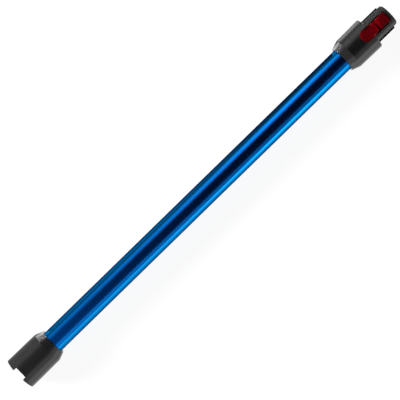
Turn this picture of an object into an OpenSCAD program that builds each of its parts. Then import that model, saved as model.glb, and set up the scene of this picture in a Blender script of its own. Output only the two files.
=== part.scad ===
// Extension wand of a cordless vacuum cleaner, lying on its back with the release lever up.
// X runs along the airway from the socket's mouth to the spigot's tip, and Z is up.
// The origin is on the surface that the wand lies on, half-way along it.
// Sections are drawn across Y and Z, and heights inside the modules count from the airway's axis.

/* [Wand] */
// Overall length, from the socket's mouth to the spigot's tip
wand_l = 735; // [600:1:900]
// Height of the airway's axis above the flats that the wand lies on
axis_h = 27; // [26.5:0.1:28]
// Clear bore of the two ducts
duct_bore_d = 28; // [26:0.1:28.4]

/* [Tube] */
// Outside diameter of the round part of the tube
tube_d = 35; // [34.6:0.1:35.4]
// Wall of the tube
tube_wall = 1.2; // [1:0.1:1.3]
// Outside radius of the keel that holds the wires
keel_r = 8.9; // [8.6:0.1:9.2]
// Distance from the airway's axis down to the keel's centre
keel_drop = 14.2; // [14:0.1:14.5]
// Length of tube inside each collar
tube_grip = 20; // [18:0.5:24]

/* [Lower collar] */
// Length of the lower collar
lower_l = 65.9; // [62:0.1:74]
// Diameter of the lower collar at its mouth
lower_mouth_d = 51.6; // [51.2:0.1:52.4]
// Diameter of the lower collar where its cone starts
lower_waist_d = 50.5; // [50:0.1:51]
// Length of each collar's cone
cone_l = 12; // [10:0.1:13]
// Diameter of each collar where the tube leaves it
nose_d = 41.3; // [40.8:0.1:42]

/* [Upper collar] */
// Length of the upper collar
upper_l = 54.4; // [52:0.1:60]
// Diameter of the upper collar where its cone starts
upper_waist_d = 50; // [49.6:0.1:50.4]
// Diameter of the upper collar at its shoulder
shoulder_d = 51.2; // [50.8:0.1:51.6]
// Corner radius of the shoulder
shoulder_round = 1.1; // [0.8:0.1:2]
// Wall of the collar
collar_wall = 2.8; // [2.6:0.1:3]
// Thickness of the wall that closes the shoulder
end_wall = 2.6; // [2:0.1:3]

/* [Spigot and socket] */
// Length of the spigot, from the shoulder to the tip
spigot_l = 38.2; // [36.5:0.1:40]
// Wall of the spigot's duct
duct_wall = 1.8; // [1.6:0.1:1.9]
// Diameter of the socket's bore
socket_d = 43.8; // [43.6:0.1:44]
// Gap between a spigot and the socket, all round
mate_gap = 0.4; // [0.3:0.05:0.5]
// Width of the saddle over the spigot
saddle_w = 34.3; // [34:0.1:34.8]
// Wall of the saddle
saddle_wall = 1.9; // [1.6:0.1:2.2]
// Distance from the saddle's front to the tip
rim_l = 3.1; // [2.6:0.1:3.6]
// Wall of the rim at the tip
rim_wall = 2.6; // [2.4:0.1:2.9]
// Width across the two side rails
rails_w = 39.3; // [38.8:0.1:40]
// Distance from the front of the side rails to the tip
rails_back = 6.7; // [6:0.1:8]
// Height of the side rails
rails_h = 3; // [2.4:0.1:3.6]

/* [Contacts] */
// Distance of each contact from the middle plane
contact_y = 3.3; // [3.1:0.05:3.5]
// Diameter of the contact pins
contact_d = 2; // [1.8:0.05:2.1]
// Inside width of the shroud round the pins
shroud_w = 14; // [13.4:0.1:14.6]
// Inside height of the shroud
shroud_h = 5.4; // [5.2:0.1:5.6]
// Wall of the shroud
shroud_wall = 1.8; // [1.5:0.1:2]
// Distance from the shroud's mouth back from the tip
shroud_back = 5.5; // [5:0.1:6]
// Depth of the shroud's cavity
shroud_deep = 12; // [11.5:0.1:13]
// Outside diameter of a wire
wire_d = 2.4; // [2.2:0.1:2.5]

/* [Release lever] */
// Length of the pad
pad_l = 28.6; // [27:0.1:29.6]
// Width of the pad
pad_w = 18.1; // [17.8:0.1:18.4]
// Radius of the pad's front corners
pad_front_r = 7.8; // [6:0.1:8.4]
// Width of the neck and the latch head
head_w = 16.2; // [15.8:0.1:16.4]
// Length of the flat on the latch head, from the hook to the ramp
crown_l = 3.6; // [3:0.1:4.4]
// Length of the neck between the pad and the hook
neck_l = 4; // [3.6:0.1:4.6]
// Distance from the hook to the pin
hook_arm = 14; // [13.6:0.1:14.4]
// Height of the hook above the socket's bore
hook_h = 1; // [0.8:0.05:1.1]
// Distance from the pin to the tip
pivot_back = 9.5; // [9.2:0.1:9.8]
// Diameter of the pin
pin_d = 2; // [1.8:0.1:2.1]
// Radius of the barrel round the pin
barrel_r = 1.9; // [1.8:0.05:2]
// Angle that the lever swings through
press_angle = 5; // [4.5:0.1:5.2]

/* [Hidden] */
$fn = 96;

// Stations along the wand
mouth_x = -wand_l / 2;
tip_x = wand_l / 2;
shoulder_x = tip_x - spigot_l;
hall_x = shoulder_x - end_wall;
lower_nose_x = mouth_x + lower_l;
upper_nose_x = shoulder_x - upper_l;
tube_x0 = lower_nose_x - tube_grip;
tube_x1 = upper_nose_x + tube_grip;

// Gaps between pieces of the same body
slip = 0.15;
// Gap between the lever and what it moves past
swing_gap = 0.35;
// Gap round the lever's pin, on the radius
pin_gap = 0.03;
// How far the tube's flanks are sunk into its round parts
flank_sunk = 0.02;

// Radii from the airway's axis
bore_r = duct_bore_d / 2;
tube_r = tube_d / 2;
tube_bore_r = tube_r - tube_wall;
tail_r = tube_bore_r - slip;
duct_r = bore_r + duct_wall;
rim_r = bore_r + rim_wall;
socket_r = socket_d / 2;
saddle_r = socket_r - mate_gap;
head_r = socket_r + hook_h;
catch_r = head_r + 0.6;
pad_r = shoulder_d / 2 - 0.2;
hall_r = shoulder_d / 2 - collar_wall;

// The tails of the ducts inside the tube, from the tube's end inwards
tail_l = 18;
window_x = 7.5;
window_l = 7;
window_h = 6;
seal_x = 14.4;
seal_l = 1.8;
seal_deep = 1.1;

// The flats and flanks that the collars lie on
foot_y = 7;
foot_round = 3;
foot_sunk = 0.3;

// The contacts and the wires lie in the tube's keel, nearer its floor than the airway
keel_in = sqrt(pow(keel_r - tube_wall, 2) - pow(contact_y, 2)) + keel_drop;
contact_z = -(0.6 * keel_in + 0.4 * sqrt(tube_r * tube_r - contact_y * contact_y));
shroud_z0 = contact_z - shroud_h / 2;
shroud_z1 = contact_z + shroud_h / 2;
shroud_out = shroud_w / 2 + shroud_wall;
shroud_bottom = shroud_z0 - 1.6;
keel_top = -tube_r - 0.1;
shroud_x1 = tip_x - shroud_back;
shroud_x0 = shroud_x1 - shroud_deep;
// How far the pins reach along the shroud, and into the sleeves of a socket
pin_reach = shroud_deep - 1.5;
sleeve_r = 1.5;

// The back of the socket, where a spigot's rim presses on a ring that stands proud of it
seat_gap = 0.3;
socket_back_x = mouth_x + spigot_l + seat_gap;
seat_l = 2;
seat_r = rim_r + 0.3;
seal_proud = 0.6;
tongue_x0 = mouth_x + spigot_l - shroud_back - shroud_deep + 1.8;
// Where each wire meets a sleeve and a pin
wire_x0 = tube_x0 - 2;
wire_x1 = shroud_x0 - 12;

// The lever's heights and stations
floor_z = bore_r + 1.1;
pivot_z = floor_z + barrel_r + 0.4;
pivot_station = tip_x - pivot_back;
hook_station = pivot_station - hook_arm;
pad_x1 = hook_station - neck_l;
pad_x0 = pad_x1 - pad_l;
lip_l = 2.4;
neck_z = 19;
pad_front_z = neck_z + 1.6;
pocket_y = pad_w / 2 + 0.75;
hook_bow_r = 26;
dish_r = 120;
pad_wall = 1.8;
cheek_y = head_w / 2 + swing_gap;
pocket_x1 = pivot_station + barrel_r + 1.5;
pin_half = sqrt(pow(saddle_r, 2) - pow(pivot_z + pin_d / 2, 2)) - 0.25;

// The socket's notch, its bevel and the catch for the hook
notch_l = 5.4;
notch_y0 = pad_w / 2 + 0.45;
notch_y1 = pad_w / 2 + 0.05;
bevel_l = 3.4;
catch_x0 = mouth_x + hook_station - shoulder_x - 0.3;
catch_x1 = catch_x0 + hook_arm + 2.1;

// The gate mark on the lower collar
gate_x = mouth_x + 0.55 * lower_l;
gate_turn = 47;
gate_r = 0.8;

// The spring under the pad
spring_r = 2.6;
spring_wire = 0.5;
spring_x = pad_x0 + pad_wall + spring_r + spring_wire / 2 + 2.2;
spring_turns = 5;
spring_dead = 1;
spring_top = pad_r - 3.9;
post_l = 1.2;

collar_grey = [0.2, 0.2, 0.21];
duct_black = [0.05, 0.05, 0.055];
lever_red = [0.6, 0.03, 0.06];
tube_blue = [0.02, 0.3, 0.75];
steel = [0.75, 0.75, 0.77];
brass = [0.85, 0.68, 0.3];
rubber = [0.08, 0.08, 0.08];
insulator = [0.12, 0.12, 0.13];
wire_red = [0.7, 0.1, 0.1];
wire_black = [0.1, 0.1, 0.1];

// Points of an outline with its corners rounded to the radii in r, n steps to a corner
function rounded(p, r, n = 6) = [
    for (i = [0 : len(p) - 1])
        let (
            b = p[i],
            u = unit(p[(i + len(p) - 1) % len(p)] - b),
            v = unit(p[(i + 1) % len(p)] - b),
            half = acos(u * v) / 2,
            mid = b + unit(u + v) * r[i] / sin(half),
            start = b + u * r[i] / tan(half) - mid,
            turn = (180 - 2 * half) * sign(u.x * v.y - u.y * v.x)
        )
        for (k = [0 : r[i] > 0 ? n : 0])
            r[i] > 0 ? mid + spun(start, -turn * k / n) : b
];
function unit(v) = v / norm(v);
function spun(v, a) = [v.x * cos(a) - v.y * sin(a), v.x * sin(a) + v.y * cos(a)];

// A section across Y and Z, drawn as a bar from x0 to x1
module bar(x0, x1) {
    translate([x0, 0, axis_h]) rotate([90, 0, 90]) linear_extrude(x1 - x0) children();
}

// A profile of [radius, x] points, turned about the airway's axis
module turned() {
    translate([0, 0, axis_h]) rotate([90, 0, 90]) rotate_extrude() children();
}

// An outline along X and Z, drawn as a slab w wide across the middle plane
module slab(w) {
    translate([0, w / 2, axis_h]) rotate([90, 0, 0]) linear_extrude(w) children();
}

// An outline along X and Y, drawn as a plate from z0 up to z1
module plate(z0, z1) {
    translate([0, 0, axis_h + z0]) linear_extrude(z1 - z0) children();
}

// A round rod along X at y, z from the airway's axis
module rod(x0, x1, r, y = 0, z = 0) {
    translate([x0, y, axis_h + z]) rotate([0, 90, 0]) cylinder(h = x1 - x0, r = r);
}

// A box given by its limits from the airway's axis
module block(x, y, z) {
    translate([x[0], y[0], axis_h + z[0]]) cube([x[1] - x[0], y[1] - y[0], z[1] - z[0]]);
}

// The tube's outer form: a round airway and a keel, with flanks all but tangent to both
module keyhole(x0, x1, grow = 0) {
    r = tube_r + grow - flank_sunk;
    k = keel_r + grow - flank_sunk;
    a = acos((r - k) / keel_drop);
    rod(x0, x1, r + flank_sunk);
    rod(x0, x1, k + flank_sunk, 0, -keel_drop);
    bar(x0, x1) polygon([
        [r * sin(a), -r * cos(a)], [k * sin(a), -keel_drop - k * cos(a)],
        [-k * sin(a), -keel_drop - k * cos(a)], [-r * sin(a), -r * cos(a)]
    ]);
}

// The keel under a collar of radius r: flanks all but tangent to the round body, and the flat it lies on
module foot_section(r, steps = 8) {
    foot_z = axis_h - foot_round;
    a = atan2(-foot_z, foot_y) + acos((r - foot_round) / norm([foot_y, foot_z]));
    corner = (r + axis_h * sin(a)) / cos(a);
    polygon(rounded(
        [[r * cos(a), r * sin(a)], [corner, -axis_h], [-corner, -axis_h], [-r * cos(a), r * sin(a)]],
        [0, foot_round, foot_round, 0], steps
    ));
}

// The keel of a collar, from the waist to the end that the tube doesn't enter
module foot(waist_x, end_x, r, end_round) {
    intersection() {
        bar(min(waist_x, end_x), max(waist_x, end_x)) foot_section(r);
        slab(2 * r) polygon(rounded(
            [[waist_x, 0], [waist_x, -axis_h], [end_x, -axis_h], [end_x, 0]],
            [0, 0, end_round, 0]
        ));
    }
}

// The keel under a collar's cone, which draws in to a cover over the tube's own keel
module foot_nose(nose_x, waist_x, r) {
    slice = sign(waist_x - nose_x) * 0.05;
    nose_r = nose_d / 2 - foot_sunk;
    k = keel_r + 2;
    a = acos((nose_r - k) / keel_drop);
    hull() {
        bar(min(nose_x, nose_x + slice), max(nose_x, nose_x + slice)) polygon([
            [-nose_r * sin(a), -nose_r * cos(a)], [nose_r * sin(a), -nose_r * cos(a)],
            for (i = [8 : -1 : -8]) [k * sin(a * i / 8), -keel_drop - k * cos(a * i / 8)]
        ]);
        bar(min(waist_x, waist_x - slice), max(waist_x, waist_x - slice)) foot_section(r, 5);
    }
}

// Places its children at each side of the wand
module both_sides() {
    children();
    mirror([0, 1, 0]) children();
}

// Windows in the tube's sides, or the barbs that snap into them, drawn inwards from a tube end
module side_window(end_x, inwards, shrink, r0, r1) {
    mid = end_x + inwards * window_x;
    half_l = window_l / 2 - shrink;
    half_h = window_h / 2 - shrink;
    both_sides() block([mid - half_l, mid + half_l], [r0, r1], [-half_h, half_h]);
}

module wand_tube() {
    color(tube_blue) difference() {
        keyhole(tube_x0, tube_x1);
        rod(tube_x0 - 1, tube_x1 + 1, tube_bore_r);
        difference() {
            rod(tube_x0 - 1, tube_x1 + 1, keel_r - tube_wall, 0, -keel_drop);
            rod(tube_x0 - 2, tube_x1 + 2, tube_r);
        }
        side_window(tube_x0, 1, 0, tube_bore_r - 2, tube_r + 1);
        side_window(tube_x1, -1, 0, tube_bore_r - 2, tube_r + 1);
    }
}

// The part of a duct that plugs into the tube, with its seal groove and its two snap barbs
module duct_tail(end_x, inwards) {
    far_x = end_x + inwards * tail_l;
    groove_x = end_x + inwards * seal_x;
    difference() {
        union() {
            turned() polygon([
                [0, end_x], [tail_r, end_x], [tail_r, far_x - inwards], [tail_r - 0.6, far_x], [0, far_x]
            ]);
            intersection() {
                turned() polygon([
                    [bore_r, end_x + inwards * (window_x - window_l / 2)],
                    [tube_r - 0.2, end_x + inwards * (window_x - window_l / 2 + 0.3)],
                    [tube_r - 0.2, end_x + inwards * (window_x - 1)],
                    [tail_r - 0.1, end_x + inwards * (window_x + window_l / 2 - 0.3)],
                    [bore_r, end_x + inwards * (window_x + window_l / 2 - 0.3)]
                ]);
                side_window(end_x, inwards, 0.3, bore_r, tube_r);
            }
        }
        turned() polygon([
            [tail_r - seal_deep, groove_x - seal_l / 2], [tail_r + 1, groove_x - seal_l / 2],
            [tail_r + 1, groove_x + seal_l / 2], [tail_r - seal_deep, groove_x + seal_l / 2]
        ]);
    }
}

// A ring of rectangular section with rounded outer edges, for the groove of a duct's tail
module tail_seal(end_x, inwards) {
    mid = end_x + inwards * seal_x;
    r0 = tail_r - seal_deep + 0.03;
    r1 = tube_bore_r - 0.02;
    half = seal_l / 2 - 0.05;
    color(rubber) turned() polygon(rounded(
        [[r0, mid - half], [r1, mid - half], [r1, mid + half], [r0, mid + half]],
        [0, 0.5, 0.5, 0]
    ));
}

module upper_tube_seal() { tail_seal(tube_x1, -1); }

module lower_tube_seal() { tail_seal(tube_x0, 1); }

// The pad's outline from above: a half-round rear end and rounded front corners
module pad_outline(grow = 0, reach = 0) {
    w = pad_w / 2 + grow;
    front = reach > 0 ? 0 : pad_front_r + grow;
    polygon(rounded(
        [[pad_x0 - grow, -w], [pad_x1 + reach, -w], [pad_x1 + reach, w], [pad_x0 - grow, w]],
        [w - 0.05, front, front, w - 0.05], 12
    ));
}

// The dark grey collar at the spigot end: a hollow body of revolution on a keel
module upper_collar() {
    waist_x = upper_nose_x + cone_l + 0.4;
    r = shoulder_d / 2;
    color(collar_grey) difference() {
        union() {
            turned() polygon(rounded(
                [
                    [0, upper_nose_x], [nose_d / 2, upper_nose_x], [upper_waist_d / 2, waist_x],
                    [r, shoulder_x - shoulder_round], [r, shoulder_x], [0, shoulder_x]
                ],
                [0, 0.6, 5, 0, shoulder_round, 0]
            ));
            foot(waist_x, shoulder_x, upper_waist_d / 2 - foot_sunk, shoulder_round);
            foot_nose(upper_nose_x, waist_x, upper_waist_d / 2 - foot_sunk);
        }
        keyhole(upper_nose_x - 1, tube_x1, slip);
        rod(tube_x1, hall_x, hall_r);
        block([tube_x1, hall_x], [-shroud_out - slip, shroud_out + slip], [shroud_bottom - slip, 0]);
        rod(hall_x - 1, shoulder_x + 1, duct_r + slip);
        block([hall_x - 1, shoulder_x + 1], [-shroud_out - slip, shroud_out + slip], [shroud_bottom - slip, 0]);
        plate(0, r + 5) pad_outline(swing_gap, spigot_l);
    }
}

// The black duct of the spigot: tail, bulkheads, barrel, rails, contact shroud and rim
module spigot_duct() {
    bulkhead_l = 3;
    rail_x1 = tip_x - rails_back;
    shroud_root = hall_x - bulkhead_l;
    color(duct_black) difference() {
        union() {
            duct_tail(tube_x1, -1);
            rod(tube_x1, tip_x - rim_l, duct_r);
            spring_post(bore_r + 0.5, floor_z + post_l);
            for (x = [tube_x1, shroud_root]) {
                rod(x, x + bulkhead_l, hall_r - slip);
                block([x, x + bulkhead_l], [-shroud_out, shroud_out], [shroud_bottom, 0]);
            }
            turned() polygon([
                [0, tip_x - rim_l], [rim_r, tip_x - rim_l], [rim_r, tip_x - 1],
                [rim_r - 0.8, tip_x], [0, tip_x]
            ]);
            bar(shroud_root, shroud_x1) polygon(rounded(
                [
                    [-shroud_out, -bore_r * 0.8], [-shroud_out, shroud_bottom],
                    [shroud_out, shroud_bottom], [shroud_out, -bore_r * 0.8]
                ],
                [0, 1.2, 1.2, 0]
            ));
            plate(-rails_h / 2, rails_h / 2) polygon(rounded(
                [
                    [shoulder_x + slip, -rails_w / 2], [rail_x1, -rails_w / 2],
                    [rail_x1, rails_w / 2], [shoulder_x + slip, rails_w / 2]
                ],
                [0, 1.6, 1.6, 0]
            ));
        }
        rod(tube_x1 - tail_l - 1, tip_x + 1, bore_r);
        block([shroud_root - 1, shroud_x1 + 1], [-shroud_w / 2, shroud_w / 2], [shroud_z0, shroud_z1]);
        block([tube_x1 - 1, tube_x1 + bulkhead_l + 1], [-shroud_w / 2, shroud_w / 2], [shroud_z0, keel_top]);
        difference() {
            lever_room();
            spring_post(floor_z - 1, floor_z + post_l);
        }
    }
}

// Where the lever swings, down to a flat on top of the duct
module lever_room() {
    block([pad_x0 - lip_l - 1, pocket_x1], [-pocket_y, pocket_y], [floor_z, shoulder_d / 2]);
}

// The dark grey saddle over the spigot: two side strips, a front wall and cheeks for the lever's pin
module spigot_cover() {
    front_x = tip_x - rim_l;
    half_w = saddle_w / 2;
    core_y = pocket_y + 1.4;
    color(collar_grey) difference() {
        union() {
            intersection() {
                turned() polygon(rounded(
                    [[duct_r, shoulder_x], [saddle_r, shoulder_x], [saddle_r, front_x], [duct_r, front_x]],
                    [0, 0, 0.9, 0]
                ));
                plate(rails_h / 2, saddle_r + 1) polygon(rounded(
                    [[shoulder_x, -half_w], [front_x, -half_w], [front_x, half_w], [shoulder_x, half_w]],
                    [0, 1.2, 1.2, 0]
                ));
                difference() {
                    block([shoulder_x, front_x], [-half_w, half_w], [0, saddle_r + 1]);
                    block([shoulder_x - 1, pocket_x1], [-pocket_y, pocket_y], [0, saddle_r + 2]);
                    both_sides() intersection() {
                        block([shoulder_x - 1, pocket_x1], [core_y, half_w - 1.3], [0, saddle_r + 1]);
                        rod(shoulder_x - 1, pocket_x1, saddle_r - saddle_wall);
                    }
                }
            }
            both_sides() intersection() {
                block(
                    [pivot_station - barrel_r - 0.8, pocket_x1 + 0.5],
                    [cheek_y, core_y], [floor_z + 0.2, pivot_z + barrel_r]
                );
                rod(shoulder_x, front_x, saddle_r - 0.1);
            }
        }
        rod(shoulder_x - 1, front_x + 1, duct_r + 0.05);
        pin_hole(pin_half + 0.1, pin_d / 2 + 0.01);
    }
}

// A round hole or rod across the wand at the lever's pin
module pin_hole(half, r) {
    translate([pivot_station, half, axis_h + pivot_z]) rotate([90, 0, 0]) cylinder(h = 2 * half, r = r);
}

module lever_pin() {
    color(steel) pin_hole(pin_half, pin_d / 2);
}

// The red lever: a dished pad, a low neck and a latch head with a ramp and a hook
module release_lever() {
    under = tan(press_angle + 0.3);
    under_z0 = floor_z + 0.9;
    nose_x = pocket_x1 - swing_gap;
    rear = pivot_station - pad_x0;
    lip_z0 = hall_r - 2.2;
    hollow_x1 = spring_x + spring_r + spring_wire / 2 + 1.2;
    // Beyond this station the pad goes under a socket's wall
    notch_x = shoulder_x + notch_l - 0.5;
    color(lever_red) difference() {
        union() {
            // Pad
            intersection() {
                plate(floor_z, pad_r + 1) pad_outline();
                slab(pad_w + 2) polygon([
                    [pad_x0 - 1, under_z0 + under * (rear + 1)],
                    [pad_x1 + 1, under_z0 + under * (pivot_station - pad_x1 - 1)],
                    [pad_x1 + 1, pad_r + 1],
                    [pad_x0 - 1, pad_r + 1]
                ]);
                turned() polygon([
                    [0, pad_x0 - 1], [pad_r, pad_x0 - 1], [pad_r, shoulder_x - 0.6],
                    [saddle_r - 0.05, notch_x], [saddle_r - 0.05, pad_x1 + 1], [0, pad_x1 + 1]
                ]);
            }
            // Lip that stops the pad under the collar's wall, and its root in the pad's rear wall
            intersection() {
                rod(pad_x0 - lip_l, pad_x0 + pad_wall, hall_r - 0.3);
                block([pad_x0 - lip_l, pad_x0 + pad_wall], [-4.5, 4.5], [lip_z0, hall_r]);
            }
            intersection() {
                plate(lip_z0, pad_r - 1) pad_outline(-0.2);
                block([pad_x0, pad_x0 + pad_wall], [-4.5, 4.5], [0, pad_r]);
            }
            // Neck, which runs on under the latch head to the barrel
            slab(head_w) polygon([
                [pad_x1 - 6, under_z0 + under * (pivot_station - pad_x1 + 6)],
                [pivot_station - 1, under_z0], [pivot_station, pivot_z],
                [pivot_station + 0.6, neck_z], [pad_x1 - 6, neck_z]
            ]);
            // Latch head: a ramp down to its nose, and a hook whose face is bowed towards the pad
            intersection() {
                slab(head_w) polygon(rounded(
                    [
                        [hook_station - 1, neck_z - 1], [pivot_station, neck_z - 1],
                        [pivot_station, pivot_z - 0.8], [nose_x, pivot_z - 0.8],
                        [nose_x, pivot_z + barrel_r], [hook_station + crown_l, head_r + 0.01],
                        [hook_station - 1, head_r + 0.01]
                    ],
                    [0, 0, 0, 0.5, 0.8, 0, 0]
                ));
                rod(pad_x1, nose_x + 1, head_r);
                translate([hook_station + hook_bow_r, 0, axis_h]) cylinder(h = head_r + 1, r = hook_bow_r);
            }
            pin_hole(head_w / 2, barrel_r);
        }
        pin_hole(head_w, pin_d / 2 + pin_gap);
        // Hollow under the pad, with a wall all round and a post in the spring
        difference() {
            intersection() {
                plate(0, spring_top) pad_outline(-pad_wall);
                block([pad_x0, hollow_x1], [-pad_w, pad_w], [0, pad_r]);
            }
            spring_post(spring_top - post_l, spring_top);
        }
        intersection() {
            dish([pad_x0 + 2, pad_r], [pad_x1, pad_front_z]);
            block([pad_x0, pad_x1 + 1], [-pad_w, pad_w], [neck_z, pad_r + 1]);
        }
    }
}

// What the dish in the pad's top takes away: an arc of dish_r from the rear point down to the front one
module dish(rear, front) {
    middle = (rear + front) / 2;
    half = norm(front - rear) / 2;
    up = unit([rear.y - front.y, front.x - rear.x]);
    centre = middle + up * sqrt(dish_r * dish_r - half * half);
    translate([centre.x, pad_w, axis_h + centre.y]) rotate([90, 0, 0]) cylinder(h = 2 * pad_w, r = dish_r);
}

// A post that the spring stands round, from z0 to z1
module spring_post(z0, z1) {
    translate([spring_x, 0, axis_h + z0]) cylinder(h = z1 - z0, r = spring_r - spring_wire / 2 - 0.3);
}

// Points of a ring across a helix at angle a, on the coil's own axis
function coil_z(a, bottom, top) =
    let (total = 360 * spring_turns, dead = 360 * spring_dead, w = spring_wire)
    a < dead ? bottom + w / 2 + w * a / 360
    : a > total - dead ? top - w / 2 - w * (total - a) / 360
    : bottom + 1.5 * w + (top - bottom - 3 * w) * (a - dead) / (total - 2 * dead);
function coil_ring(a, bottom, top, sides) = [
    for (k = [0 : sides - 1])
        let (b = 360 * k / sides, r = spring_r + spring_wire / 2 * cos(b))
        [r * cos(a), r * sin(a), coil_z(a, bottom, top) + spring_wire / 2 * sin(b)]
];

module lever_spring() {
    steps = spring_turns * 16;
    sides = 8;
    rings = [for (i = [0 : steps]) coil_ring(360 * spring_turns * i / steps, floor_z, spring_top, sides)];
    points = [for (ring = rings) each ring];
    walls = [
        for (i = [0 : steps - 1], k = [0 : sides - 1])
            let (n = (k + 1) % sides)
            [i * sides + k, (i + 1) * sides + k, (i + 1) * sides + n, i * sides + n]
    ];
    ends = [[for (k = [0 : sides - 1]) k], [for (k = [sides - 1 : -1 : 0]) steps * sides + k]];
    color(steel) translate([spring_x, 0, axis_h]) polyhedron(points, concat(walls, ends));
}

// The insulator that holds the pins at the back of the shroud
module pin_carrier() {
    x0 = hall_x - 2;
    color(insulator) difference() {
        block(
            [x0, shroud_x0],
            [-shroud_w / 2 + slip, shroud_w / 2 - slip], [shroud_z0 + slip, shroud_z1 - slip]
        );
        both_sides() rod(x0 - 1, shroud_x0 + 1, contact_d / 2 + 0.01, contact_y, contact_z);
        both_sides() rod(x0 - 1, wire_x1, wire_d / 2 + 0.1, contact_y, contact_z);
    }
}

// A contact pin with a domed end
module contact_pin(side) {
    r = contact_d / 2;
    x1 = shroud_x0 + pin_reach;
    color(brass) {
        rod(wire_x1, x1 - r, r, side * contact_y, contact_z);
        translate([x1 - r, side * contact_y, axis_h + contact_z]) sphere(r);
    }
}

module contact_pin_left() { contact_pin(1); }

module contact_pin_right() { contact_pin(-1); }

// A wire from the back of a sleeve to the back of a pin
module wire(side) {
    rod(wire_x0, wire_x1, wire_d / 2, side * contact_y, contact_z);
}

module positive_wire() { color(wire_red) wire(1); }

module negative_wire() { color(wire_black) wire(-1); }

// The dark grey collar with the socket: mouth, notch and bevel, catch and contact pocket
module lower_collar() {
    waist_x = lower_nose_x - cone_l;
    r = lower_mouth_d / 2;
    pocket_out = shroud_out + mate_gap;
    pocket_bottom = shroud_bottom - mate_gap;
    bevel_z0 = sqrt(r * r - notch_y1 * notch_y1) - 0.1;
    bevel_x0 = mouth_x + notch_l;
    bevel_slope = (r - bevel_z0) / bevel_l;
    color(collar_grey) difference() {
        union() {
            turned() polygon(rounded(
                [
                    [0, mouth_x], [r, mouth_x], [lower_waist_d / 2, waist_x],
                    [nose_d / 2, lower_nose_x], [0, lower_nose_x]
                ],
                [0, 0.8, 0.4, 0.5, 0]
            ));
            foot(waist_x, mouth_x, lower_waist_d / 2 - foot_sunk, 0.8);
            foot_nose(lower_nose_x, waist_x, lower_waist_d / 2 - foot_sunk);
        }
        keyhole(tube_x0, lower_nose_x + 1, slip);
        rod(mouth_x - 1, tube_x0, socket_r);
        turned() polygon([
            [0, mouth_x - 1], [socket_r + 1.6, mouth_x - 1], [socket_r, mouth_x + 0.6], [0, mouth_x + 0.6]
        ]);
        block([mouth_x - 1, tube_x0], [-pocket_out, pocket_out], [pocket_bottom, 0]);
        // Notch for a spigot's pad, and the bevel behind it
        plate(socket_r / 2, r + 1) polygon([
            [mouth_x - 1, -notch_y0], [bevel_x0, -notch_y1], [bevel_x0, notch_y1], [mouth_x - 1, notch_y0]
        ]);
        slab(2 * notch_y1) polygon([
            [bevel_x0 - 1, bevel_z0 - bevel_slope], [bevel_x0 + bevel_l + 2, r + 2 * bevel_slope],
            [bevel_x0 - 1, r + 4]
        ]);
        // Catch for the hook, in the roof of the bore
        intersection() {
            rod(catch_x0, catch_x1, catch_r);
            block([catch_x0, catch_x1], [-head_w / 2 - 0.7, head_w / 2 + 0.7], [0, r]);
        }
        // Gate mark of the moulding
        translate([gate_x, 0, axis_h]) rotate([-gate_turn, 0, 0]) translate([0, 0, r - 0.9]) cylinder(h = 3, r = gate_r);
    }
}

// The duct at the back of the socket: a flange that closes the bore, and a tail in the tube
module socket_duct() {
    flange_r = socket_r - slip;
    color(duct_black) difference() {
        union() {
            duct_tail(tube_x0, 1);
            rod(socket_back_x, tube_x0, flange_r);
            block(
                [socket_back_x, tube_x0],
                [-shroud_out - mate_gap + slip, shroud_out + mate_gap - slip],
                [shroud_bottom - mate_gap + slip, 0]
            );
        }
        rod(socket_back_x - 1, tube_x0 + tail_l + 1, bore_r);
        turned() polygon([
            [0, socket_back_x - 1], [seat_r, socket_back_x - 1],
            [seat_r, socket_back_x + seat_l], [0, socket_back_x + seat_l]
        ]);
        block([socket_back_x - 1, tube_x0 + 1], [-shroud_w / 2, shroud_w / 2], [shroud_z0, keel_top]);
        // Coring of the flange, from behind
        difference() {
            rod(socket_back_x + seat_l + 1.4, tube_x0 + 1, flange_r - 1.6);
            rod(socket_back_x, tube_x0 + 2, tube_r);
            block([socket_back_x, tube_x0 + 2], [-shroud_out, shroud_out], [-socket_r, 0]);
            block([socket_back_x, tube_x0 + 2], [-1, 1], [0, socket_r]);
            block([socket_back_x, tube_x0 + 2], [-socket_r, socket_r], [-1, 1]);
        }
    }
}

// The soft ring that a spigot's rim seats on
module socket_seal() {
    r0 = bore_r + 0.3;
    r1 = seat_r - 0.05;
    x0 = socket_back_x - seal_proud;
    x1 = socket_back_x + seat_l - 0.02;
    color(rubber) turned() polygon(rounded(
        [[r0, x0], [r1, x0], [r1, x1], [r0, x1]], [0.6, 0.6, 0, 0]
    ));
}

// The insulator at the back of the socket, which enters a spigot's shroud
module contact_tongue() {
    nose_y = shroud_w / 2 - 0.5;
    nose_h = shroud_h / 2 - 0.4;
    x1 = tube_x0 - 1;
    color(insulator) difference() {
        union() {
            block(
                [socket_back_x, x1],
                [-shroud_w / 2 + slip, shroud_w / 2 - slip], [shroud_z0 + slip, keel_top - slip]
            );
            bar(tongue_x0, socket_back_x) polygon(rounded(
                [
                    [-nose_y, contact_z - nose_h], [nose_y, contact_z - nose_h],
                    [nose_y, contact_z + nose_h], [-nose_y, contact_z + nose_h]
                ],
                [0.5, 0.5, 0.5, 0.5]
            ));
        }
        both_sides() rod(tongue_x0 - 1, x1 + 1, sleeve_r + 0.02, contact_y, contact_z);
    }
}

// A brass sleeve, open towards the mouth
module contact_sleeve(side) {
    x0 = tongue_x0 + 0.3;
    color(brass) difference() {
        rod(x0, wire_x0, sleeve_r, side * contact_y, contact_z);
        rod(x0 - 1, x0 + pin_reach, contact_d / 2 + 0.05, side * contact_y, contact_z);
    }
}

module contact_sleeve_left() { contact_sleeve(1); }

module contact_sleeve_right() { contact_sleeve(-1); }

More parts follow.
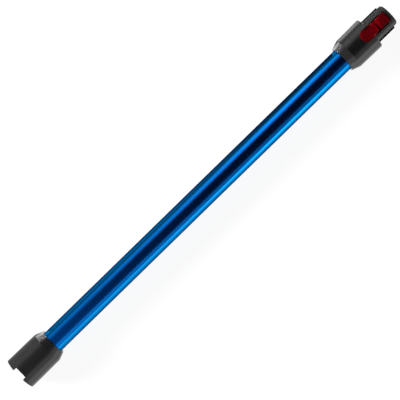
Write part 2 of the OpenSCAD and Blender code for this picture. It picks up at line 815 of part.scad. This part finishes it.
wand_tube();
upper_collar();
spigot_duct();
spigot_cover();
release_lever();
lever_pin();
lever_spring();
pin_carrier();
contact_pin_left();
contact_pin_right();
upper_tube_seal();
positive_wire();
negative_wire();
lower_collar();
socket_duct();
lower_tube_seal();
socket_seal();
contact_tongue();
contact_sleeve_left();
contact_sleeve_right();
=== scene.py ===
import math

import bmesh
import bpy
import numpy as np
from mathutils import Matrix, Vector


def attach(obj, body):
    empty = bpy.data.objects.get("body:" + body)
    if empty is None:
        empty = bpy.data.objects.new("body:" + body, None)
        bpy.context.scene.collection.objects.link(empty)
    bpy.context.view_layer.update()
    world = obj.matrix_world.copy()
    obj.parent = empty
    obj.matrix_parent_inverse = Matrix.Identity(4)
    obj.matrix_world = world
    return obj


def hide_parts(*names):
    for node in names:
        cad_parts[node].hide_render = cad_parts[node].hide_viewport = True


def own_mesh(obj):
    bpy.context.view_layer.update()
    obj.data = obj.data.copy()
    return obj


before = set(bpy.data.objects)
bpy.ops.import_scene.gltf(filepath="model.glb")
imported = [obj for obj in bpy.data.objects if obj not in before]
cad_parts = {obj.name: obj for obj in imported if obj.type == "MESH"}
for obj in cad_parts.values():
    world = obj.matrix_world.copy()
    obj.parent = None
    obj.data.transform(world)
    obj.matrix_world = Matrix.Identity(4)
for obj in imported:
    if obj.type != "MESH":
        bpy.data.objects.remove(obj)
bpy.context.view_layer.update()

# The tube
# One aluminium extrusion, round above and with a keel for the two wires below. It is drawn along
# its length, brushed lightly and anodised a deep blue, the metal's own colour, with a cyan
# highlight tint painted where it is seen aslant.


def material_for(name):
    """A new material, with its tree of nodes and its Principled shader."""
    material = bpy.data.materials.new(name)
    material.use_nodes = True
    return material, material.node_tree, material.node_tree.nodes["Principled BSDF"]


def add(tree, kind, **values):
    """One more node of a tree, with its settings and its unlinked inputs given by name."""
    node = tree.nodes.new(kind)
    for key, value in values.items():
        if hasattr(node, key):
            setattr(node, key, value)
        else:
            node.inputs[key.replace("_", " ")].default_value = value
    return node


def add_span(tree, low, high, start=0.0, end=1.0):
    """A Map Range node that turns start..end into low..high."""
    return add(
        tree, "ShaderNodeMapRange", From_Min=start, From_Max=end, To_Min=low, To_Max=high
    )


def group_with(name, takes, gives):
    """An empty shader node group with its named inputs and outputs, each a (name, kind, value)."""
    tree = bpy.data.node_groups.new(name, "ShaderNodeTree")
    for label, kind, value in takes:
        tree.interface.new_socket(name=label, in_out="INPUT", socket_type=kind).default_value = value
    for label, kind in gives:
        tree.interface.new_socket(name=label, in_out="OUTPUT", socket_type=kind)
    return tree, add(tree, "NodeGroupInput"), add(tree, "NodeGroupOutput")


def place_group(tree, group, **values):
    """A group placed in a material's tree with its own values."""
    node = tree.nodes.new("ShaderNodeGroup")
    node.node_tree = group
    for key, value in values.items():
        node.inputs[key.replace("_", " ")].default_value = value
    return node


def dress(names, material):
    """Gives the CAD nodes of these names a material in place of their plain one."""
    for name in names:
        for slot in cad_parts[name].material_slots:
            slot.material = material


# Fine lines along X: a noise that is stretched 160 times along the wand, in two widths.
LINE_STRETCH = (0.006, 1.0, 1.0)
drawn_lines, takes, gives = group_with(
    "drawn lines",
    [("Fine", "NodeSocketFloat", 9000.0), ("Broad", "NodeSocketFloat", 900.0)],
    [("Lines", "NodeSocketFloat"), ("Streaks", "NodeSocketFloat")],
)
place = add(drawn_lines, "ShaderNodeTexCoord")
for scale, out in (("Fine", "Lines"), ("Broad", "Streaks")):
    stretch = add(drawn_lines, "ShaderNodeVectorMath", operation="MULTIPLY")
    stretch.inputs[1].default_value = LINE_STRETCH
    noise = add(drawn_lines, "ShaderNodeTexNoise", Detail=3.0, Roughness=0.6)
    drawn_lines.links.new(place.outputs["Object"], stretch.inputs[0])
    drawn_lines.links.new(stretch.outputs["Vector"], noise.inputs["Vector"])
    drawn_lines.links.new(takes.outputs[scale], noise.inputs["Scale"])
    drawn_lines.links.new(noise.outputs["Fac"], gives.inputs[out])

# Painted highlight tint: the colour is painted more cyan where the tube is seen aslant, where its
# highlights fall, and is indigo straight on. Each streak took the colour a bit differently: the
# weak and the strong colour of each are mixed by the streaks.
INDIGO = ((0.002, 0.095, 0.49, 1.0), (0.002, 0.112, 0.57, 1.0))
PAINTED_HIGHLIGHT_CYAN = ((0.003, 0.175, 0.45, 1.0), (0.004, 0.205, 0.53, 1.0))
STREAK_BLEND = (0.3, 0.7)
ALL_PAINTED_CYAN_AT = 0.3
anodised, tree, shader = material_for("blue anodised aluminium")
shader.inputs["Metallic"].default_value = 1.0
shader.inputs["Specular Tint"].default_value = (0.15, 0.1, 0.12, 1.0)
lines = place_group(tree, drawn_lines)
aslant = add(tree, "ShaderNodeLayerWeight", Blend=0.5)
# Painted highlight: the share of the cyan colour grows as the surface is seen more aslant.
turn = add_span(tree, 0.0, 1.0, end=ALL_PAINTED_CYAN_AT)
tree.links.new(aslant.outputs["Facing"], turn.inputs["Value"])
dye_and_painted_cyan = add(tree, "ShaderNodeMix", data_type="RGBA")
tree.links.new(turn.outputs["Result"], dye_and_painted_cyan.inputs["Factor"])
for side, colours in (("A", INDIGO), ("B", PAINTED_HIGHLIGHT_CYAN)):
    streaked = add(tree, "ShaderNodeValToRGB")
    for element, colour, position in zip(streaked.color_ramp.elements, colours, STREAK_BLEND):
        element.color = colour
        element.position = position
    tree.links.new(lines.outputs["Streaks"], streaked.inputs["Fac"])
    tree.links.new(streaked.outputs["Color"], dye_and_painted_cyan.inputs[side])
tree.links.new(dye_and_painted_cyan.outputs["Result"], shader.inputs["Base Color"])
rough = add_span(tree, 0.17, 0.27)
tree.links.new(lines.outputs["Lines"], rough.inputs["Value"])
tree.links.new(rough.outputs["Result"], shader.inputs["Roughness"])
relief = add(tree, "ShaderNodeBump", Strength=0.08, Distance=0.00004)
tree.links.new(lines.outputs["Lines"], relief.inputs["Height"])
tree.links.new(relief.outputs["Normal"], shader.inputs["Normal"])
dress(["wand_tube"], anodised)

# The collars and the saddle
# The socket collar, the collar at the spigot and the saddle over the spigot are dark grey mouldings
# with a fine spark-eroded skin. Their edges are a little round, with a lighter colour painted on them
# as a highlight.

# A fine pitted skin, and a soft round at each edge that catches the light, whose mask also carries a
# painted highlight.
# Edges is 0 where the rounded and the flat normal agree to 0.995, and 1 where they agree to 0.9.
moulded_skin, takes, gives = group_with(
    "moulded skin",
    [("Scale", "NodeSocketFloat", 3500.0), ("Edge radius", "NodeSocketFloat", 0.0004)],
    [
        ("Pits", "NodeSocketFloat"), ("Clouds", "NodeSocketFloat"),
        ("Edges", "NodeSocketFloat"), ("Normal", "NodeSocketVector"),
    ],
)
place = add(moulded_skin, "ShaderNodeTexCoord")
pits = add(moulded_skin, "ShaderNodeTexNoise", Detail=2.0, Roughness=0.7)
clouds = add(moulded_skin, "ShaderNodeTexNoise", Scale=60.0, Detail=3.0)
soft = add(moulded_skin, "ShaderNodeBevel", samples=6)
flat = add(moulded_skin, "ShaderNodeNewGeometry")
agree = add(moulded_skin, "ShaderNodeVectorMath", operation="DOT_PRODUCT")
edges = add_span(moulded_skin, 0.0, 1.0, start=0.995, end=0.9)
for noise in (pits, clouds):
    moulded_skin.links.new(place.outputs["Object"], noise.inputs["Vector"])
moulded_skin.links.new(takes.outputs["Scale"], pits.inputs["Scale"])
moulded_skin.links.new(takes.outputs["Edge radius"], soft.inputs["Radius"])
moulded_skin.links.new(soft.outputs["Normal"], agree.inputs[0])
moulded_skin.links.new(flat.outputs["Normal"], agree.inputs[1])
moulded_skin.links.new(agree.outputs["Value"], edges.inputs["Value"])
moulded_skin.links.new(pits.outputs["Fac"], gives.inputs["Pits"])
moulded_skin.links.new(clouds.outputs["Fac"], gives.inputs["Clouds"])
moulded_skin.links.new(edges.outputs["Result"], gives.inputs["Edges"])
moulded_skin.links.new(soft.outputs["Normal"], gives.inputs["Normal"])


def plastic(name, colour, painted_edge_highlight, rough, gloss, pit_depth):
    """A moulded plastic: its colour and the painted highlight colour of its edges, its roughness,
    gloss and pits.
    """
    material, tree, shader = material_for(name)
    skin = place_group(tree, moulded_skin)
    # Painted highlight: the edges are painted in a lighter colour than the rest.
    mix = add(tree, "ShaderNodeMix", data_type="RGBA")
    mix.inputs["A"].default_value = (*colour, 1.0)
    mix.inputs["B"].default_value = (*painted_edge_highlight, 1.0)
    tree.links.new(skin.outputs["Edges"], mix.inputs["Factor"])
    tree.links.new(mix.outputs["Result"], shader.inputs["Base Color"])
    vary = add_span(tree, rough - 0.05, rough + 0.05)
    tree.links.new(skin.outputs["Clouds"], vary.inputs["Value"])
    tree.links.new(vary.outputs["Result"], shader.inputs["Roughness"])
    relief = add(tree, "ShaderNodeBump", Strength=0.35, Distance=pit_depth)
    tree.links.new(skin.outputs["Pits"], relief.inputs["Height"])
    tree.links.new(skin.outputs["Normal"], relief.inputs["Normal"])
    tree.links.new(relief.outputs["Normal"], shader.inputs["Normal"])
    shader.inputs["Specular IOR Level"].default_value = gloss
    return material


collar_grey = plastic(
    "dark grey moulded plastic", colour=(0.005, 0.005, 0.0054), painted_edge_highlight=(0.016, 0.016, 0.017),
    rough=0.3, gloss=0.55, pit_depth=0.000015,
)
dress(["lower_collar", "upper_collar", "spigot_cover"], collar_grey)

# The ducts
# The airway's two ducts are plain black mouldings: one plugs into the tube behind the socket, and
# the other runs from the tube to the rim at the tip, with the side rails and the contact shroud.
duct_black = plastic(
    "black duct plastic", colour=(0.002, 0.002, 0.0022), painted_edge_highlight=(0.003, 0.003, 0.0032),
    rough=0.4, gloss=0.12, pit_depth=0.00001,
)
dress(["spigot_duct", "socket_duct"], duct_black)

# The release lever
# One red moulding with a satin gloss: a dished pad, a low neck and a latch head. It swings on a
# steel pin held by the saddle's cheeks, and the coil spring under the pad lifts it.
lever_red = plastic(
    "red lever plastic", colour=(0.15, 0.0005, 0.0028), painted_edge_highlight=(0.21, 0.001, 0.004),
    rough=0.34, gloss=0.4, pit_depth=0.00001,
)
red_gloss = lever_red.node_tree.nodes["Principled BSDF"].inputs["Specular Tint"]
red_gloss.default_value = (1.0, 0.08, 0.12, 1.0)


def merged_copy(node):
    """A copy of a CAD node's mesh, with its loose triangles joined at their corners."""
    work = bmesh.new()
    work.from_mesh(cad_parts[node].data)
    bmesh.ops.remove_doubles(work, verts=work.verts, dist=0.000001)
    mesh = bpy.data.meshes.new(node + " copy")
    work.to_mesh(mesh)
    work.free()
    return mesh


def even_skin(node, cell, rounds):
    """A CAD node's form as an even skin of small faces, its edges rounded by so many smoothings."""
    draft = bpy.data.objects.new("draft", merged_copy(node))
    bpy.context.scene.collection.objects.link(draft)
    even = draft.modifiers.new("even", "REMESH")
    even.voxel_size = cell
    soft = draft.modifiers.new("soft", "SMOOTH")
    soft.factor = 0.5
    soft.iterations = rounds
    depsgraph = bpy.context.evaluated_depsgraph_get()
    skin = bpy.data.meshes.new_from_object(draft.evaluated_get(depsgraph))
    bpy.data.objects.remove(draft)
    return skin


def eased(value, start, run):
    """0 before start, 1 past start + run, and 3t^2 - 2t^3 between, with t the share of the run."""
    t = np.clip((value - start) / run, 0.0, 1.0)
    return t * t * (3.0 - 2.0 * t)


def show_piece(name, mesh, material):
    """A new piece at the origin, from a mesh that holds its place, in one material."""
    mesh.shade_smooth()
    mesh.materials.clear()
    mesh.materials.append(material)
    piece = bpy.data.objects.new(name, mesh)
    bpy.context.scene.collection.objects.link(piece)
    return piece


# The pad's top is let in by 0.3 mm, inside a rim round its front end that stands 0.4 mm proud.
# Both fade in along X, and both follow the inset: a point's distance inside the pad's outline,
# which is a band 18.1 mm wide with a round corner at each side of its front end. A name with RUN
# is the length over which its fade is complete, and only faces that look up are moved.
PAD_FRONT, PAD_HALF, PAD_CORNER = 0.34, 0.00905, 0.0078
HOLLOW_DEPTH, HOLLOW_REAR, HOLLOW_RUN = 0.0003, 0.322, 0.007
RIM_RISE, RIM_REAR, RIM_RUN = 0.0004, 0.325, 0.008
RIM_OUT, RIM_OUT_RUN = -0.0002, 0.0005
RIM_IN, RIM_IN_RUN, HOLLOW_IN_RUN = 0.0009, 0.0007, 0.0008
HOLLOW_ABOVE, RIM_ABOVE = 0.046, 0.0465
skin = even_skin("release_lever", cell=0.00022, rounds=8)
points = np.empty(len(skin.vertices) * 3)
normals = np.empty(len(skin.vertices) * 3)
skin.vertices.foreach_get("co", points)
skin.vertices.foreach_get("normal", normals)
points = points.reshape(-1, 3)
along, height, faces_up = points[:, 0], points[:, 2], normals.reshape(-1, 3)[:, 2]
across = np.abs(points[:, 1]) - PAD_HALF + PAD_CORNER
ahead = along - PAD_FRONT + PAD_CORNER
inset = (
    PAD_CORNER - np.hypot(np.maximum(across, 0.0), np.maximum(ahead, 0.0))
    - np.minimum(np.maximum(across, ahead), 0.0)
)
hollow = eased(inset, RIM_IN, HOLLOW_IN_RUN) * eased(along, HOLLOW_REAR, HOLLOW_RUN)
hollow *= (faces_up > 0.6) & (height > HOLLOW_ABOVE) & (along < PAD_FRONT)
rim = eased(inset, RIM_OUT, RIM_OUT_RUN) * (1.0 - eased(inset, RIM_IN, RIM_IN_RUN))
rim *= eased(along, RIM_REAR, RIM_RUN)
rim *= (faces_up > 0.3) & (height > RIM_ABOVE) & (along < PAD_FRONT)
points[:, 2] += RIM_RISE * rim - HOLLOW_DEPTH * hollow
skin.vertices.foreach_set("co", points.ravel())
lever = show_piece("moulded_lever", skin, lever_red)
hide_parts("release_lever")
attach(lever, "lever")


def bright_metal(name, colour, rough):
    """A bare metal with fine lines from drawing or turning in its roughness."""
    material, tree, shader = material_for(name)
    shader.inputs["Metallic"].default_value = 1.0
    shader.inputs["Base Color"].default_value = (*colour, 1.0)
    lines = place_group(tree, drawn_lines, Fine=12000.0, Broad=2500.0)
    vary = add_span(tree, rough - 0.06, rough + 0.06)
    tree.links.new(lines.outputs["Lines"], vary.inputs["Value"])
    tree.links.new(vary.outputs["Result"], shader.inputs["Roughness"])
    return material


drawn_steel = bright_metal("drawn steel", colour=(0.62, 0.62, 0.64), rough=0.25)
dress(["lever_pin"], drawn_steel)

# The coil spring under the pad: a copy of its CAD node's mesh, in drawn steel.
coil = show_piece("coil_spring", merged_copy("lever_spring"), drawn_steel)
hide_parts("lever_spring")
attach(coil, "wand")
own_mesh(coil)

# The contacts
# Plated brass pins in a black carrier at the spigot, and brass sleeves in a black tongue at the
# back of the socket. Two insulated wires join them along the tube's keel.
insulator = plastic(
    "black insulator plastic", colour=(0.006, 0.006, 0.0065), painted_edge_highlight=(0.01, 0.01, 0.011),
    rough=0.4, gloss=0.4, pit_depth=0.00001,
)
dress(["pin_carrier", "contact_tongue"], insulator)
dress(
    ["contact_pin_left", "contact_pin_right", "contact_sleeve_left", "contact_sleeve_right"],
    bright_metal("plated brass", colour=(0.78, 0.58, 0.26), rough=0.2),
)
for wire, name, colour in (
    ("positive_wire", "red wire insulation", (0.35, 0.01, 0.01)),
    ("negative_wire", "black wire insulation", (0.012, 0.012, 0.012)),
):
    cover = plastic(name, colour=colour, painted_edge_highlight=colour, rough=0.45, gloss=0.5, pit_depth=0.00001)
    dress([wire], cover)

# The seals
# Moulded rubber rings: one in the groove of each duct's tail, and a softer one at the back of the
# socket that a spigot's rim seats on.
seal_rubber = plastic(
    "black seal rubber", colour=(0.012, 0.012, 0.012), painted_edge_highlight=(0.02, 0.02, 0.02),
    rough=0.7, gloss=0.4, pit_depth=0.00002,
)
dress(["upper_tube_seal", "lower_tube_seal", "socket_seal"], seal_rubber)

# The studio
# A pale floor in a white room, with a soft sun from the left. Light cards stand and lie on both
# sides of the wand, and a dark flag hangs over it. The camera looks down from 2.2 m.
WAND_ANGLE = math.radians(44.29)
across_picture = Vector((math.cos(WAND_ANGLE), -math.sin(WAND_ANGLE), 0.0))
target = Vector((-0.0105, -0.0016, 0.027))
stand = target + Vector((0.0, -0.058, 2.199))
look = (target - stand).normalized()
right = (across_picture - look * across_picture.dot(look)).normalized()
up = right.cross(look)
camera = bpy.data.objects.new("camera", bpy.data.cameras.new("camera"))
camera.data.sensor_width = 36.0
camera.data.lens = 138.6
camera.data.clip_end = 50.0
turned = Matrix((right, up, -look)).transposed().to_4x4()
camera.matrix_world = Matrix.Translation(stand) @ turned
bpy.context.scene.collection.objects.link(camera)
bpy.context.scene.camera = camera


def stage_plane(name, corners, material):
    """A flat sheet through four corners that isn't part of the object."""
    mesh = bpy.data.meshes.new(name)
    mesh.from_pydata(corners, [], [tuple(range(len(corners)))])
    mesh.materials.append(material)
    obj = bpy.data.objects.new(name, mesh)
    bpy.context.scene.collection.objects.link(obj)
    return obj


def level_corners(x0, x1, y0, y1, z):
    """The four corners of a level sheet."""
    return [(x0, y0, z), (x1, y0, z), (x1, y1, z), (x0, y1, z)]


def upright_corners(x0, x1, y, z0, z1):
    """The four corners of an upright sheet along X."""
    return [(x0, y, z0), (x1, y, z0), (x1, y, z1), (x0, y, z1)]


def background_rays(tree):
    """1 for camera, glossy and transmission rays, which see the white background, and 0 for others."""
    path = add(tree, "ShaderNodeLightPath")
    two = add(tree, "ShaderNodeMath", operation="ADD")
    three = add(tree, "ShaderNodeMath", operation="ADD", use_clamp=True)
    tree.links.new(path.outputs["Is Camera Ray"], two.inputs[0])
    tree.links.new(path.outputs["Is Glossy Ray"], two.inputs[1])
    tree.links.new(two.outputs["Value"], three.inputs[0])
    tree.links.new(path.outputs["Is Transmission Ray"], three.inputs[1])
    return three.outputs["Value"]


FLOOR_GREY, FLOOR_GLOW, FLOOR_REACH = 0.15, 0.93, 14
pale, tree, shader = material_for("pale floor")
shader.inputs["Base Color"].default_value = (FLOOR_GREY, FLOOR_GREY, FLOOR_GREY, 1.0)
shader.inputs["Roughness"].default_value = 0.9
shader.inputs["Specular IOR Level"].default_value = 0.0
shader.inputs["Emission Color"].default_value = (1.0, 1.0, 1.0, 1.0)
glow = add(tree, "ShaderNodeMath", operation="MULTIPLY")
glow.inputs[1].default_value = FLOOR_GLOW
tree.links.new(background_rays(tree), glow.inputs[0])
tree.links.new(glow.outputs["Value"], shader.inputs["Emission Strength"])
pale.cycles.emission_sampling = "NONE"
stage_plane("floor", level_corners(-FLOOR_REACH, FLOOR_REACH, -FLOOR_REACH, FLOOR_REACH, 0), pale)

# A sheet dimmer than this is left to the rays that meet it, because aimed rays would be wasted.
WORTH_AIMING = 2.0
EVEN = [(0.0, 1.0), (1.0, 1.0)]


def add_ramp(tree, stops, value):
    """A ramp through (metres, share) stops over an output in metres; gives its share."""
    low, high = stops[0][0], stops[-1][0]
    reach = add_span(tree, 0.0, 1.0, start=low, end=high)
    ramp = add(tree, "ShaderNodeValToRGB")
    elements = ramp.color_ramp.elements
    for metres, share in stops:
        if metres == low:
            element = elements[0]
        elif metres == high:
            element = elements[-1]
        else:
            element = elements.new((metres - low) / (high - low))
        element.color = (share, share, share, 1.0)
    tree.links.new(value, reach.inputs["Value"])
    tree.links.new(reach.outputs["Result"], ramp.inputs["Fac"])
    return ramp.outputs["Color"]


def glowing_sheet(name, corners, peak, along=EVEN, upwards=EVEN, one_sided=False):
    """A sheet that only gloss sees. It glows with peak times a ramp along X times a ramp up Z."""
    material, tree, shader = material_for(name)
    shader.inputs["Base Color"].default_value = (0.0, 0.0, 0.0, 1.0)
    shader.inputs["Specular IOR Level"].default_value = 0.0
    place = add(tree, "ShaderNodeTexCoord")
    axes = add(tree, "ShaderNodeSeparateXYZ")
    tree.links.new(place.outputs["Object"], axes.inputs["Vector"])
    share = add(tree, "ShaderNodeMath", operation="MULTIPLY")
    tree.links.new(add_ramp(tree, along, axes.outputs["X"]), share.inputs[0])
    tree.links.new(add_ramp(tree, upwards, axes.outputs["Z"]), share.inputs[1])
    if one_sided:
        faces = add(tree, "ShaderNodeNewGeometry")
        front = add_span(tree, 1.0, 0.0)
        front_share = add(tree, "ShaderNodeMath", operation="MULTIPLY")
        tree.links.new(faces.outputs["Backfacing"], front.inputs["Value"])
        tree.links.new(front.outputs["Result"], front_share.inputs[1])
        tree.links.new(share.outputs["Value"], front_share.inputs[0])
        share = front_share
    tree.links.new(share.outputs["Value"], shader.inputs["Emission Color"])
    shader.inputs["Emission Strength"].default_value = peak
    if peak < WORTH_AIMING:
        material.cycles.emission_sampling = "NONE"
    sheet = stage_plane(name, corners, material)
    sheet.visible_camera = sheet.visible_diffuse = sheet.visible_shadow = False
    sheet.visible_transmission = False
    return sheet


CARD_REACH, CARD_Y, CARD_LOW, FLAG_Z = 8, 6, 0.002, 3.6
glowing_sheet(
    "left light card", upright_corners(-CARD_REACH, CARD_REACH, CARD_Y, 0, 12), peak=4.2,
    along=[
        (-8.0, 0.05), (-1.3, 0.18), (0.0, 0.3), (0.5, 0.45), (0.75, 1.0), (1.05, 1.0),
        (1.12, 0.04), (8.0, 0.03),
    ],
    upwards=[
        (0.0, 0.06), (1.2, 0.1), (2.0, 0.5), (3.0, 1.0), (5.5, 1.0), (7.5, 0.55), (12.0, 0.25),
    ],
)
glowing_sheet(
    "right light card", upright_corners(-CARD_REACH, CARD_REACH, -CARD_Y, 1.5, 9), peak=1.9,
    along=[
        (-8.0, 1.0), (-2.5, 1.0), (-1.3, 0.84), (0.0, 0.42), (0.8, 0.2), (1.0, 0.2), (1.3, 0.45),
        (2.5, 0.84), (8.0, 0.84),
    ],
    upwards=[(1.5, 0.5), (3.5, 0.48), (4.5, 0.9), (5.5, 1.0), (7.5, 1.0), (9.0, 0.6)],
)
glowing_sheet(
    "right low card", upright_corners(-CARD_REACH, CARD_REACH, -CARD_Y, 0, 1.5), peak=3.8,
    along=[(-8.0, 0.2), (-1.3, 0.45), (0.0, 0.65), (0.95, 1.0), (1.1, 0.5), (8.0, 0.4)],
)
glowing_sheet(
    "overhead flag", level_corners(-FLOOR_REACH, FLOOR_REACH, -3.6, 2.2, FLAG_Z), peak=1.0,
    along=[
        (-14.0, 0.03), (-4.8, 0.04), (-3.2, 0.4), (-0.95, 0.5), (-0.8, 0.28), (-0.65, 0.11),
        (-0.4, 0.05), (0.0, 0.01), (1.2, 0.0), (2.0, 0.3), (3.8, 0.3), (5.0, 0.04), (14.0, 0.03),
    ],
)
glowing_sheet(
    "right floor card", level_corners(-CARD_REACH, CARD_REACH, -CARD_Y, -0.2, CARD_LOW), peak=3.8,
    along=[
        (-8.0, 0.25), (-0.4, 0.36), (0.0, 0.45), (0.2, 1.0), (0.27, 0.9), (0.34, 0.34), (8.0, 0.33),
    ],
)
glowing_sheet(
    "left floor card", level_corners(-CARD_REACH, CARD_REACH, 0.04, CARD_Y, CARD_LOW), peak=0.55,
    along=[(-8.0, 1.0), (-0.1, 1.0), (0.15, 0.15), (8.0, 0.1)],
)
# Small bright lights that the slopes of the collars' cones mirror.
SIDE_Y, SIDE_HALF, SIDE_FULL = 5.9, 0.6, 0.4
for x in (3.3, -3.3):
    glowing_sheet(
        f"side light {x:.0f}", upright_corners(x - SIDE_HALF, x + SIDE_HALF, SIDE_Y, 0, 1), peak=80.0,
        along=[
            (x - SIDE_HALF, 0.0), (x - SIDE_FULL, 1.0), (x + SIDE_FULL, 1.0), (x + SIDE_HALF, 0.0),
        ],
        upwards=[(0.0, 1.0), (0.7, 1.0), (1.0, 0.0)],
    )
glowing_sheet(
    "reflector beside the upper collar", level_corners(0.29, 0.4, 0.05, 0.16, 0.004), peak=2.1
)
# Two upright reflectors beside the cones' left flanks, glowing towards the cones alone.
for x, lean in ((0.2695, 0.006), (-0.296, -0.006)):
    near = [(x, 0.024, 0.001), (x + lean, 0.07, 0.001), (x + lean, 0.07, 0.034), (x, 0.024, 0.034)]
    glowing_sheet("small reflector", near if x > 0 else near[::-1], peak=6.0, one_sided=True)

sun = bpy.data.objects.new("soft window light", bpy.data.lights.new("soft window light", "SUN"))
sun.data.energy = 5.6
sun.data.angle = math.radians(24)
sun.rotation_euler = (0.0, math.radians(66), math.radians(134))
sun.visible_glossy = False
bpy.context.scene.collection.objects.link(sun)

ROOM_FILL, BACKGROUND_WHITE = 0.1, 1.0
world = bpy.data.worlds.new("white room")
bpy.context.scene.world = world
world.use_nodes = True
backdrop = world.node_tree.nodes["Background"]
backdrop.inputs["Color"].default_value = (1.0, 1.0, 1.0, 1.0)
level = add_span(world.node_tree, ROOM_FILL, BACKGROUND_WHITE)
world.node_tree.links.new(background_rays(world.node_tree), level.inputs["Value"])
world.node_tree.links.new(level.outputs["Result"], backdrop.inputs["Strength"])
bpy.context.scene.view_settings.view_transform = "Standard"
